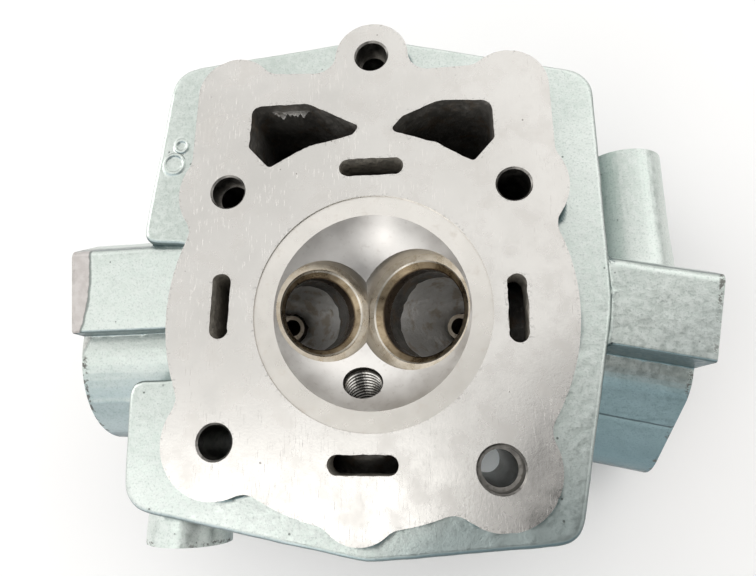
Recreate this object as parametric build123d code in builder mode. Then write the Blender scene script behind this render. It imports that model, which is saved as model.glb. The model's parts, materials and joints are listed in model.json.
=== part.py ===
"""Bare cylinder head of a liquid-cooled single-cylinder pushrod engine.

Frame: the head lies on its rocker-cover face with the gasket face (deck) up.
The origin is on the cylinder's bore axis at the deck, +Z points out of the deck,
+X points to the inlet side and +Y to the pushrod side. Millimetres.
"""
import math
import os

from build123d import *

os.makedirs("parts", exist_ok=True)

# ---------------------------------------------------------------- driving dimensions
HEIGHT = 84.0            # deck to rocker-cover face
DECK_STEP = 9.0          # height of the machined deck above the cast shoulder
WATER_BODY = 62.0        # depth of the water-jacketed body below the deck
OVERLAP = 2.0            # how far joined bodies run into each other
EDGE = 1.6               # rounding of cast outer edges

# rocker chamber on the cover side
COVER_CENTRE = (-2.0, 22.5)
COVER_SIZE = (124.0, 95.0)
COVER_WALL = 6.0
COVER_CORNER = 12.0
COVER_FLOOR = 60.0       # depth of the chamber's floor below the deck
COVER_BOLT_PITCH = (112.0, 83.0)
COVER_BOSS_R = 7.5
COVER_TAP_R = 2.5        # M6
COVER_TAP_DEEP = 15.0
PEDESTAL_R = 9.0
PEDESTAL_HIGH = 9.0
PEDESTAL_PITCH = 30.0
PEDESTAL_Y = 31.0
PEDESTAL_TAP_R = 3.4     # M8

# combustion chamber
FIRE_RING_R = 32.5
FIRE_RING_DEEP = 0.5
CHAMBER_R = 27.3
CHAMBER_DEEP = 14.0
BALL_R = (CHAMBER_R**2 + CHAMBER_DEEP**2) / (2 * CHAMBER_DEEP)
BALL_Z = BALL_R - CHAMBER_DEEP

# valves and ports; sideways distances at a flange run to its own right, seen from outside
VALVE_Y = 1.4
EXHAUST = dict(
    side=-1, lean=32.0, x=-15.1, seat_r=14.5, throat_r=10.6, spring_seat=52.0,
    face=95.0, heading=181.5, port_x=2.0, knee_z=-34.0, port_z=-42.0, mouth_r=16.0, mouth_deep=4.0,
    bolt_circle=25.5, bolt_angle=140.0,
)
INTAKE = dict(
    side=1, lean=24.0, x=12.5, seat_r=17.0, throat_r=12.8, spring_seat=50.0,
    face=92.0, heading=-11.0, port_x=4.0, knee_z=-43.0, port_z=-48.0, mouth_r=14.5, mouth_deep=8.0,
    bolt_circle=25.5, bolt_angle=45.0,
)
THROAT_RUN = 20.0        # seat face to the port's bend, along the valve
PORT_KNEE = 66.0         # distance of the port's second bend from the bore axis
PORT_BENDS = (16.0, 40.0)
PORT_WALL = 3.5
PORT_BODY = 48.0         # how far a port's outer body runs in from its face
STUD_TAP_R = 3.4         # M8 studs of both port flanges
STUD_TAP_DEEP = 16.0
SEAT_HIGH = 6.0
SEAT_BEVEL = 2.2         # 45 degree sealing bevel
GUIDE_R = 5.25
STEM_R = 2.75
GUIDE_NOSE = 29.0        # seat face to the guide's port end, along the valve
GUIDE_NOSE_R = 4.0
GUIDE_STAND = 9.0        # guide's length above the spring seat
SPRING_POCKET_R = 13.0
SPRING_POCKET_DEEP = 22.0
CLIP_THICK = 1.2
CLIP_DEEP = 0.7          # groove depth in the guide
CLIP_WIDE = 2.0
CLIP_GAP = 5.0
CORD_R = 0.8             # guide's O-ring section radius

# spark plug: M12 thread, square to the chamber roof
PLUG_LEAN = 35.0
PLUG_X = -3.0
PLUG_R = 5.5
PLUG_REACH = 19.0
PLUG_WELL_R = 10.8
PLUG_WELL_DEEP = 62.0

# studs: x, y, hole radius, dowel counterbore radius and depth
BOSS_R = 14.8
EAR_R = 10.9
STUDS = dict(
    upper_left=(-41.9, 35.6, 4.2, 4.8, 6.2),
    upper_right=(39.6, 34.2, 4.6, 0.0, 0.0),
    lower_left=(-41.3, -34.7, 4.6, 0.0, 0.0),
    lower_right=(32.6, -41.0, 4.75, 5.8, 6.5),
    ear=(-0.1, 77.3, 3.75, 4.65, 6.7),
)
MOUTH_BREAK = 0.5        # countersink at the deck

# coolant: slots in the deck, jacket round the chamber, outlet neck
SLOT_SIZE = (18.4, 5.2)
SLOTS = ((-0.1, 41.3, 0.0), (-2.0, -40.2, 0.0), (-42.1, 1.8, 90.0), (38.8, -0.5, 90.0))
JACKET_R = (35.5, 44.5)
JACKET_Z = (11.0, 50.0)
NECK_X = 81.0
NECK_Z = -40.0
NECK_R = 12.0
NECK_BORE = 8.6
NECK_ENDS = (8.0, 56.5)
NECK_SPIGOT = 23.0       # straight length that takes the hose
NECK_ROOT_R = 12.9       # the cast root tapers down to the spigot
NECK_BLIND = 14.0        # y of the blind end of the neck's bore
PASSAGE_R = 6.5
WEB_INNER = 50.0        # where the neck's web starts inside the body
PASSAGE_Y = 21.0

# blind sender boss
SENDER_X = -58.5
SENDER_Z = -30.0
SENDER_R = 12.5
SENDER_ENDS = (-64.0, -46.0)
SENDER_TAP_R = 5.25
SENDER_TAP_DEEP = 15.0

# outlines in the deck's plane
DISC = (-1.5, 0.0, 56.0)
DECK_LOBES = ((-3.0, -49.0, 10.6), (-41.4, 67.6, 11.6), (39.3, 64.4, 11.6))
DECK_FIELD = (
    (-53.0, 67.6), (-53.6, 36.0), (-30.0, 20.0), (30.0, 20.0), (51.4, 34.0),
    (50.9, 64.4), (39.0, 72.0), (0.0, 71.5), (-41.0, 74.0),
)
DECK_BLEND = 6.0
SHOULDER = (
    (0.0, 90.5), (-66.0, 83.5), (-72.0, 24.0), (-56.0, 23.0), (-56.0, -17.5), (-71.5, -17.5),
    (-70.0, -52.5), (-2.0, -65.0), (52.5, -59.5), (65.5, 2.0), (65.5, 73.0),
)
SHOULDER_BLENDS = (14, 9, 4, 4, 4, 3, 9, 20, 7, 60, 9)
LEFT_WINDOW = (
    (-35.8, 62.8), (-19.0, 62.6), (-3.4, 54.2), (-5.6, 51.6), (-19.5, 48.4), (-30.0, 42.4), (-36.4, 49.3),
)
LEFT_WINDOW_BLENDS = (3, 6, 1.2, 1, 10, 1.6, 1.4)
RIGHT_WINDOW = (
    (5.2, 52.5), (9.2, 56.8), (20.0, 61.3), (34.6, 60.2), (35.0, 48.4), (28.8, 41.4), (19.0, 47.6),
)
RIGHT_WINDOW_BLENDS = (1.2, 3, 7, 3.5, 2, 1.4, 10)

# port bodies seen square to their flange faces: sideways, up
EXHAUST_LOBE = ((0.0, -14.8), (-24.8, -10.8), (-32.0, -26.0), (-32.0, -50.0), (-8.0, -72.0), (0.0, -72.0))
EXHAUST_LOBE_BLENDS = (1, 2.5, 14, 14, 2, 1)
EXHAUST_ROUND = (3.4, -49.0, 28.0)
INTAKE_LOBE = ((3.4, -11.4), (27.2, -9.8), (32.4, -24.0), (32.4, -50.0), (10.4, -70.0), (3.4, -70.0))
INTAKE_LOBE_BLENDS = (1, 3, 10, 14, 2, 1)
INTAKE_UNDER = ((10.4, -26.5), (-2.6, -26.5), (-28.0, -55.0), (-29.0, -75.0), (10.4, -75.0))
INTAKE_UNDER_BLENDS = (1, 14, 16, 12, 1)

# raised founder's rings on the cast shoulder: x, y, outer radius
CAST_RINGS = ((-61.6, 55.8, 2.5), (-63.6, 49.8, 3.7))
CAST_RING_HIGH = 0.4


def valve_axis(valve):
    """Unit vector along the valve, from the seat into the head."""
    lean = math.radians(valve["lean"])
    return Vector(valve["side"] * math.sin(lean), 0, -math.cos(lean))


def seat_centre(valve):
    """Centre of the seat face, on the chamber's spherical roof."""
    return Vector(valve["x"], VALVE_Y, BALL_Z - math.sqrt(BALL_R**2 - valve["x"] ** 2))


def valve_plane(valve, distance):
    """Plane square to the valve, looking into the head, at a distance from the seat face."""
    return Plane(seat_centre(valve) + valve_axis(valve) * distance, x_dir=(0, 1, 0), z_dir=valve_axis(valve))


def flange_plane(valve, distance):
    """Vertical plane square to a port's outlet, at a distance from the bore axis."""
    turn = math.radians(valve["heading"])
    out = Vector(math.cos(turn), math.sin(turn), 0)
    return Plane(out * distance, x_dir=(-math.sin(turn), math.cos(turn), 0), z_dir=out)


def plug_plane(distance):
    """Plane square to the spark plug, looking out of the head, from the chamber roof."""
    lean = math.radians(PLUG_LEAN)
    out = Vector(0, -math.sin(lean), -math.cos(lean))
    roof = Vector(PLUG_X, 0, BALL_Z) + out * math.sqrt(BALL_R**2 - PLUG_X**2)
    return Plane(roof + out * distance, x_dir=(1, 0, 0), z_dir=out)


def flange_bolts(valve):
    """Two stud places, opposite each other about the port's mouth."""
    turn = math.radians(valve["bolt_angle"])
    across = valve["bolt_circle"] * math.cos(turn)
    up = valve["bolt_circle"] * math.sin(turn)
    centre = (valve["port_x"], valve["port_z"])
    return [(centre[0] + k * across, centre[1] + k * up) for k in (1, -1)]


def cover_bolts():
    """Six cover screw places: four corners and the middle of the two long sides."""
    half_x = COVER_BOLT_PITCH[0] / 2
    half_y = COVER_BOLT_PITCH[1] / 2
    return [
        (COVER_CENTRE[0] + i * half_x, COVER_CENTRE[1] + j * half_y)
        for i in (-1, 0, 1)
        for j in (-1, 1)
    ]


def port_core(valve, radius):
    """The gas passage from throat to flange face, as a solid of the given radius."""
    start = seat_centre(valve) + valve_axis(valve) * (SEAT_HIGH - 0.5)
    bend = seat_centre(valve) + valve_axis(valve) * THROAT_RUN
    knee = flange_plane(valve, PORT_KNEE).from_local_coords(Vector(valve["port_x"], valve["knee_z"], 0))
    end = flange_plane(valve, valve["face"] + 3).from_local_coords(Vector(valve["port_x"], valve["port_z"], 0))
    with BuildPart() as core:
        with BuildLine():
            FilletPolyline(start, bend, knee, end, radius=list(PORT_BENDS))
        with BuildSketch(valve_plane(valve, SEAT_HIGH - 0.5)):
            Circle(radius)
        sweep()
    return core.part


# ---------------------------------------------------------------- deck outline
with BuildSketch() as deck_outline:
    with Locations(DISC[:2]):
        Circle(DISC[2])
    for x, y, *_ in STUDS.values():
        with Locations((x, y)):
            Circle(EAR_R if (x, y) == STUDS["ear"][:2] else BOSS_R)
    for x, y, radius in DECK_LOBES:
        with Locations((x, y)):
            Circle(radius)
    with BuildLine():
        Polyline(*DECK_FIELD, close=True)
    make_face()
    offset(amount=DECK_BLEND, kind=Kind.ARC)
    offset(amount=-DECK_BLEND, kind=Kind.ARC)

# ---------------------------------------------------------------- water jacket (a hollow)
exhaust_wall = port_core(EXHAUST, EXHAUST["throat_r"] + PORT_WALL)
intake_wall = port_core(INTAKE, INTAKE["throat_r"] + PORT_WALL)

with BuildPart() as jacket:
    with BuildSketch(Plane.XY.offset(-JACKET_Z[0])):
        Circle(JACKET_R[1])
        Circle(JACKET_R[0], mode=Mode.SUBTRACT)
    extrude(amount=-(JACKET_Z[1] - JACKET_Z[0]))
    add(exhaust_wall, mode=Mode.SUBTRACT)
    add(intake_wall, mode=Mode.SUBTRACT)
    with BuildSketch(plug_plane(0)):
        Circle(PLUG_WELL_R + PORT_WALL)
    extrude(amount=PLUG_WELL_DEEP, mode=Mode.SUBTRACT)
    for valve in (EXHAUST, INTAKE):
        with BuildSketch(valve_plane(valve, valve["spring_seat"] - PORT_WALL)):
            Circle(SPRING_POCKET_R + PORT_WALL)
        extrude(amount=SPRING_POCKET_DEEP, mode=Mode.SUBTRACT)

# ---------------------------------------------------------------- head casting
with BuildPart() as head_casting:
    # water-jacketed body with its cast shoulder
    with BuildSketch(Plane.XY.offset(-DECK_STEP)):
        with BuildLine():
            FilletPolyline(*SHOULDER, radius=list(SHOULDER_BLENDS), close=True)
        make_face()
    extrude(amount=-(WATER_BODY - DECK_STEP))
    fillet(faces().sort_by(Axis.Z)[-1].edges(), EDGE)

    # deck and rocker box
    add(deck_outline.sketch)
    extrude(amount=-(DECK_STEP + OVERLAP))
    with BuildSketch(Plane.XY.offset(OVERLAP - WATER_BODY)):
        with Locations(COVER_CENTRE):
            RectangleRounded(*COVER_SIZE, COVER_CORNER)
        with Locations(*cover_bolts()):
            Circle(COVER_BOSS_R)
    extrude(amount=-(HEIGHT - WATER_BODY + OVERLAP))

    # exhaust and intake port bodies
    with BuildSketch(flange_plane(EXHAUST, EXHAUST["face"])):
        with BuildLine():
            FilletPolyline(*EXHAUST_LOBE, radius=list(EXHAUST_LOBE_BLENDS), close=True)
        make_face()
        with Locations(EXHAUST_ROUND[:2]):
            Circle(EXHAUST_ROUND[2])
    extrude(amount=-PORT_BODY)
    with BuildSketch(flange_plane(INTAKE, INTAKE["face"])):
        with BuildLine():
            FilletPolyline(*INTAKE_LOBE, radius=list(INTAKE_LOBE_BLENDS), close=True)
        make_face()
        with BuildLine():
            FilletPolyline(*INTAKE_UNDER, radius=list(INTAKE_UNDER_BLENDS), close=True)
        make_face()
    extrude(amount=-PORT_BODY)

    # coolant neck with its web, and the sender boss
    with BuildSketch(Plane.XZ.offset(-NECK_ENDS[1])):
        with Locations((NECK_X, NECK_Z)):
            Circle(NECK_R)
    extrude(amount=NECK_SPIGOT)
    with BuildSketch(Plane.XZ.offset(NECK_SPIGOT - NECK_ENDS[1])):
        with Locations((NECK_X, NECK_Z)):
            Circle(NECK_R)
    with BuildSketch(Plane.XZ.offset(-NECK_ENDS[0])):
        with Locations((NECK_X, NECK_Z)):
            Circle(NECK_ROOT_R)
    loft()
    with Locations((NECK_X, PASSAGE_Y, NECK_Z)):
        Box(NECK_X - WEB_INNER, 2 * NECK_R, NECK_R + 2, align=(Align.MAX, Align.CENTER, Align.MAX))
    with BuildSketch(Plane.XZ.offset(-SENDER_ENDS[0])):
        with Locations((SENDER_X, SENDER_Z)):
            Circle(SENDER_R)
    extrude(amount=SENDER_ENDS[0] - SENDER_ENDS[1])

    # combustion chamber and valve pockets
    with BuildSketch(Plane.XY):
        Circle(FIRE_RING_R)
    extrude(amount=-FIRE_RING_DEEP, mode=Mode.SUBTRACT)
    with Locations((0, 0, BALL_Z)):
        Sphere(BALL_R, mode=Mode.SUBTRACT)
    for valve in (EXHAUST, INTAKE):
        with BuildSketch(valve_plane(valve, SEAT_HIGH)):
            Circle(valve["seat_r"])
        extrude(amount=-4 * SEAT_HIGH, mode=Mode.SUBTRACT)

    # gas ports, guide bores, spring pockets
    add(port_core(EXHAUST, EXHAUST["throat_r"]), mode=Mode.SUBTRACT)
    add(port_core(INTAKE, INTAKE["throat_r"]), mode=Mode.SUBTRACT)
    for valve in (EXHAUST, INTAKE):
        with BuildSketch(flange_plane(valve, valve["face"])):
            with Locations((valve["port_x"], valve["port_z"])):
                Circle(valve["mouth_r"])
        extrude(amount=-valve["mouth_deep"], mode=Mode.SUBTRACT)
        with BuildSketch(flange_plane(valve, valve["face"])):
            with Locations(*flange_bolts(valve)):
                Circle(STUD_TAP_R)
        extrude(amount=-STUD_TAP_DEEP, mode=Mode.SUBTRACT)
        with BuildSketch(valve_plane(valve, THROAT_RUN)):
            Circle(GUIDE_R)
        extrude(amount=valve["spring_seat"] - THROAT_RUN, mode=Mode.SUBTRACT)
        with BuildSketch(valve_plane(valve, valve["spring_seat"])):
            Circle(SPRING_POCKET_R)
        extrude(amount=SPRING_POCKET_DEEP, mode=Mode.SUBTRACT)
        with BuildSketch(valve_plane(valve, valve["spring_seat"])):
            Circle(GUIDE_R + 2 * CORD_R)
        extrude(amount=-2 * CORD_R, mode=Mode.SUBTRACT)

    # spark plug hole and well
    with BuildSketch(plug_plane(-OVERLAP)):
        Circle(PLUG_R)
    extrude(amount=PLUG_REACH + 2 * OVERLAP, mode=Mode.SUBTRACT)
    with BuildSketch(plug_plane(PLUG_REACH)):
        Circle(PLUG_WELL_R)
    extrude(amount=PLUG_WELL_DEEP, mode=Mode.SUBTRACT)

    # rocker chamber, its pedestals and tapped holes
    with BuildSketch(Plane.XY.offset(-COVER_FLOOR)):
        with Locations(COVER_CENTRE):
            RectangleRounded(COVER_SIZE[0] - 2 * COVER_WALL, COVER_SIZE[1] - 2 * COVER_WALL, COVER_CORNER / 2)
        with Locations(*cover_bolts()):
            Circle(COVER_BOSS_R, mode=Mode.SUBTRACT)
    extrude(amount=-(HEIGHT - COVER_FLOOR), mode=Mode.SUBTRACT)
    with BuildSketch(Plane.XY.offset(OVERLAP - COVER_FLOOR)):
        with Locations((0, PEDESTAL_Y)):
            with GridLocations(PEDESTAL_PITCH, 0, 2, 1):
                Circle(PEDESTAL_R)
    extrude(amount=-(PEDESTAL_HIGH + OVERLAP))
    with BuildSketch(Plane.XY.offset(-COVER_FLOOR - PEDESTAL_HIGH)):
        with Locations((0, PEDESTAL_Y)):
            with GridLocations(PEDESTAL_PITCH, 0, 2, 1):
                Circle(PEDESTAL_TAP_R)
    extrude(amount=STUD_TAP_DEEP, mode=Mode.SUBTRACT)
    with BuildSketch(Plane.XY.offset(-HEIGHT)):
        with Locations(*cover_bolts()):
            Circle(COVER_TAP_R)
    extrude(amount=COVER_TAP_DEEP, mode=Mode.SUBTRACT)

    # pushrod windows, coolant slots, jacket
    for points, blends in ((LEFT_WINDOW, LEFT_WINDOW_BLENDS), (RIGHT_WINDOW, RIGHT_WINDOW_BLENDS)):
        with BuildSketch(Plane.XY):
            with BuildLine():
                FilletPolyline(*points, radius=list(blends), close=True)
            make_face()
        extrude(amount=-COVER_FLOOR - OVERLAP, mode=Mode.SUBTRACT)
    add(jacket.part, mode=Mode.SUBTRACT)
    for x, y, turn in SLOTS:
        with BuildSketch(Plane.XY):
            with Locations((x, y)):
                SlotOverall(*SLOT_SIZE, rotation=turn)
        extrude(amount=-JACKET_Z[0] - OVERLAP, mode=Mode.SUBTRACT)

    # coolant outlet and sender thread
    with BuildSketch(Plane.XZ.offset(-NECK_ENDS[1])):
        with Locations((NECK_X, NECK_Z)):
            Circle(NECK_BORE)
    extrude(amount=NECK_ENDS[1] - NECK_BLIND, mode=Mode.SUBTRACT)
    with BuildSketch(Plane.YZ.offset(NECK_X)):
        with Locations((PASSAGE_Y, NECK_Z - PASSAGE_R / 2)):
            Circle(PASSAGE_R)
    extrude(amount=-(NECK_X - JACKET_R[0]), mode=Mode.SUBTRACT)
    with BuildSketch(Plane.XZ.offset(-SENDER_ENDS[0])):
        with Locations((SENDER_X, SENDER_Z)):
            Circle(SENDER_TAP_R)
    extrude(amount=-SENDER_TAP_DEEP, mode=Mode.SUBTRACT)

    # stud holes with dowel counterbores, countersinks and nut faces
    for x, y, hole, dowel, dowel_deep in STUDS.values():
        with BuildSketch(Plane.XY):
            with Locations((x, y)):
                Circle(hole)
        extrude(amount=-HEIGHT, mode=Mode.SUBTRACT)
        if dowel:
            with BuildSketch(Plane.XY):
                with Locations((x, y)):
                    Circle(dowel)
            extrude(amount=-dowel_deep, mode=Mode.SUBTRACT)
        mouth = max(hole, dowel)
        with Locations((x, y, -MOUTH_BREAK / 2)):
            Cone(mouth, mouth + MOUTH_BREAK, MOUTH_BREAK, mode=Mode.SUBTRACT)

    # raised founder's rings
    for x, y, radius in CAST_RINGS:
        with BuildSketch(Plane.XY.offset(-DECK_STEP)):
            with Locations((x, y)):
                Circle(radius)
                Circle(radius - 1.0, mode=Mode.SUBTRACT)
        extrude(amount=CAST_RING_HIGH)

head_casting.part.label = "head_casting"
export_step(head_casting.part, "parts/head_casting.step")


# ---------------------------------------------------------------- pressed-in valve gear
def build_seat(valve, name):
    """Sintered ring with a 45 degree sealing bevel towards the chamber."""
    with BuildPart() as seat:
        with BuildSketch(valve_plane(valve, 0)):
            Circle(valve["seat_r"])
            Circle(valve["throat_r"], mode=Mode.SUBTRACT)
        extrude(amount=SEAT_HIGH)
        throat_rims = [e for e in edges().filter_by(GeomType.CIRCLE) if e.radius < valve["throat_r"] + 0.1]
        chamfer(sorted(throat_rims, key=lambda e: e.arc_center.Z)[-1:], SEAT_BEVEL)
    seat.part.label = name
    export_step(seat.part, "parts/%s.step" % name)


def build_guide(valve, name):
    """Plain valve guide with a slim nose in the port and a clip groove at the spring seat."""
    nose = 6.0
    length = valve["spring_seat"] + GUIDE_STAND - GUIDE_NOSE
    with BuildPart() as guide:
        with BuildSketch(valve_plane(valve, GUIDE_NOSE)):
            Circle(GUIDE_R)
        extrude(amount=length)
        with BuildSketch(valve_plane(valve, GUIDE_NOSE)):
            Circle(GUIDE_R)
            Circle(GUIDE_NOSE_R, mode=Mode.SUBTRACT)
        extrude(amount=nose, mode=Mode.SUBTRACT)
        with BuildSketch(valve_plane(valve, valve["spring_seat"])):
            Circle(GUIDE_R)
            Circle(GUIDE_R - CLIP_DEEP, mode=Mode.SUBTRACT)
        extrude(amount=CLIP_THICK, mode=Mode.SUBTRACT)
        with BuildSketch(valve_plane(valve, GUIDE_NOSE)):
            Circle(STEM_R)
        extrude(amount=length, mode=Mode.SUBTRACT)
    guide.part.label = name
    export_step(guide.part, "parts/%s.step" % name)


def build_clip(valve, name):
    """Open snap ring that sits in the guide's groove, on the spring seat."""
    with BuildPart() as clip:
        with BuildSketch(valve_plane(valve, valve["spring_seat"])):
            Circle(GUIDE_R - CLIP_DEEP + CLIP_WIDE)
            Circle(GUIDE_R - CLIP_DEEP, mode=Mode.SUBTRACT)
            with Locations((0, GUIDE_R)):
                Rectangle(CLIP_GAP, 2 * CLIP_WIDE, mode=Mode.SUBTRACT)
        extrude(amount=CLIP_THICK)
    clip.part.label = name
    export_step(clip.part, "parts/%s.step" % name)


def build_ring(valve, name):
    """O-ring round the guide, in its counterbore under the snap ring."""
    with BuildPart() as ring:
        Torus(GUIDE_R + CORD_R, CORD_R - 0.02)
    ring.part.label = name
    seated = valve_plane(valve, valve["spring_seat"] - CORD_R).location * ring.part
    seated.label = name
    export_step(seated, "parts/%s.step" % name)


for prefix, valve in (("exhaust", EXHAUST), ("intake", INTAKE)):
    build_seat(valve, prefix + "_valve_seat")
    build_guide(valve, prefix + "_valve_guide")
    build_clip(valve, prefix + "_guide_clip")
    build_ring(valve, prefix + "_guide_o_ring")
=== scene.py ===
import json
import math

import bmesh
import bpy
import numpy as np
from mathutils import Matrix, Vector


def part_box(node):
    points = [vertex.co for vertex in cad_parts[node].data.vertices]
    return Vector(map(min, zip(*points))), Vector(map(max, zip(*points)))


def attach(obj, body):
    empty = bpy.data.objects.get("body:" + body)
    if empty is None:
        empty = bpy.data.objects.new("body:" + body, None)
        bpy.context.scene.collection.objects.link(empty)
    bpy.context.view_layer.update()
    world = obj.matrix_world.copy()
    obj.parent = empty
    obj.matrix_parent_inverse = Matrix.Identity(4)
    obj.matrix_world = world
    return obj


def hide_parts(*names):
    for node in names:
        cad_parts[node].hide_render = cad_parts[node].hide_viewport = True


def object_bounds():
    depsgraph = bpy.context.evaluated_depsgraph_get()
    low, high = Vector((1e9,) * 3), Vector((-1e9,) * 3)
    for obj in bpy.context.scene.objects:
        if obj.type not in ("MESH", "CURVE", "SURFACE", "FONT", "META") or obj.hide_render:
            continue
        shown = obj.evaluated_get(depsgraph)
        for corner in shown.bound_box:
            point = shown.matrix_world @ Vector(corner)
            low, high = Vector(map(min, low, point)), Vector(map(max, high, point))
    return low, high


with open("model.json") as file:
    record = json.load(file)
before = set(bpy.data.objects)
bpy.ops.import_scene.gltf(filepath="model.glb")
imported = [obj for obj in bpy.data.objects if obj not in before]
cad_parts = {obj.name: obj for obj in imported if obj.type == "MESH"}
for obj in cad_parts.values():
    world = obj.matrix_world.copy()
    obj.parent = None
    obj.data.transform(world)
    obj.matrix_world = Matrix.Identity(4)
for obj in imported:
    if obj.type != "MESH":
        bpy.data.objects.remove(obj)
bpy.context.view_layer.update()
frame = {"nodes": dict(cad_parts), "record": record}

scene = bpy.context.scene
MM = 0.001

# ------------------------------------------------------------------ numbers shared with the CAD, in mm
MOUNTS = {m["name"]: m for m in frame["record"]["mounts"]}
COVER_CENTRE = (-2.0, 22.5)
COVER_INNER = (56.0, 41.5)
COVER_FLOOR = 60.0
PEDESTAL_TOP = 69.0
HEIGHT = 84.0
BALL_R = 33.62
BALL_Z = 19.62
SEAT_R = {"exhaust": 14.5, "intake": 17.0}
THROAT_R = {"exhaust": 10.6, "intake": 12.8}
SEAT_CENTRE = {"exhaust": (-15.1, 1.4, -10.42), "intake": (12.5, 1.4, -11.59)}
SEAT_HIGH = 6.0
PORT_LINE = {
    "exhaust": ((-25.7, 1.4, -27.4), (-66.03, -3.7, -34.0), (-93.0, -4.4, -42.0)),
    "intake": ((20.6, 1.4, -29.8), (65.5, -8.67, -43.0), (94.0, -14.2, -48.0)),
}
BOLT_ANGLE = {"exhaust": 140.0, "intake": 45.0}
BOLT_CIRCLE = 25.5
STUD_TAP_R = 3.4
COVER_SCREWS_HALF = (56.0, 41.5)
CAST_RINGS = ((-61.6, 55.8), (-63.6, 49.8))
CAST_RINGS_REACH = 5.0
PASSAGE = (21.0, -43.25, 6.5)
FIRE_RING_DEEP = 0.5
FIRE_RING_R = MOUNTS["fire_ring_register"]["dims"]["r_mm"]

# ------------------------------------------------------------------ the cast skin's own numbers, in mm
FLASH_START = (-31.0, 62.9, -3.6)
FLASH_END = (-18.8, 62.7, -3.6)
FLASH_INWARD = (0.0, -1.0, 0.0)
PARTING = {"exhaust": -27.0, "intake": -38.4}
PARTING_OUT = 64.0

PAINT, DECK, RING, DOME, BORE, RAW, FACE, BOWL = range(8)
CAST_KINDS = (PAINT, RAW, BOWL)

# longest edge of the finer mesh: in view, on the flat deck, and out of sight
FINE_EDGE = 1.25 * MM
DECK_EDGE = 2.2 * MM
COARSE_EDGE = 3.0 * MM
ROUNDING_LIMIT = 1.3 * MM

TONE = 0.83     # how light the object is against the floor

# brightness of the parts of the room, which is what the metal mirrors
OVERHEAD = 0.85
SHEEN = 1.0
FIGURE = 0.92
EDGES = 1.30
NEARBY = 0.60
GLEAM = 1.4
WALLS = 0.46

# the camera, in mm, and the floor
EYE = (19.18, -31.54, 152.52)
AIM = (1.95, 5.72, 0)
SENSOR = 36.0
LENS = 27.857143
FLOOR_HALF = 1.6    # half its width, in metres


def vec(*mm):
    return Vector(mm) * MM


# ------------------------------------------------------------------ smooth noise on points
def lattice(cells, seed):
    n = cells[:, 0] * 73856093 ^ cells[:, 1] * 19349663 ^ cells[:, 2] * 83492791 ^ seed * 2654435
    n = (n ^ (n >> 13)) * 1274126177 & 0x7FFFFFFF
    n = (n ^ (n >> 15)) * 668265263 & 0x7FFFFFFF
    return (n & 0xFFFF) / 32767.5 - 1.0


def noise(points, size, seed):
    """Value noise from -1 to 1 at each point, with features of a given size."""
    p = points / size
    base = np.floor(p).astype(np.int64)
    f = p - base
    f = f * f * (3 - 2 * f)
    total = np.zeros(len(p))
    for i in (0, 1):
        for j in (0, 1):
            for k in (0, 1):
                weight = np.ones(len(p))
                for axis, step in enumerate((i, j, k)):
                    weight = weight * (f[:, axis] if step else 1 - f[:, axis])
                total += weight * lattice(base + np.array((i, j, k)), seed)
    return total


# ------------------------------------------------------------------ what each face of the casting is
def axis_distance(points, place, direction):
    d = np.array(direction, float)
    d /= np.linalg.norm(d)
    rel = points - np.array(place)
    along = rel @ d
    return np.linalg.norm(rel - along[:, None] * d, axis=1), along


def facing_line(points, normals, a, b, reach):
    """True for faces within reach of a segment that look towards it, as the wall of a passage does."""
    a, b = np.array(a), np.array(b)
    t = np.clip(((points - a) @ (b - a)) / ((b - a) @ (b - a)), 0, 1)
    away = points - (a + t[:, None] * (b - a))
    return (np.linalg.norm(away, axis=1) < reach) & ((away * normals).sum(axis=1) < 0)


def mount_mm(name):
    m = MOUNTS[name]
    return np.array(m["pos_m"]) * 1000, np.array(m["axis"], float), m["dims"]


def flange_frame(side):
    place, out, _ = mount_mm(side + "_studs")
    across = np.array((-out[1], out[0], 0.0))
    return place, out, across


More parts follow.
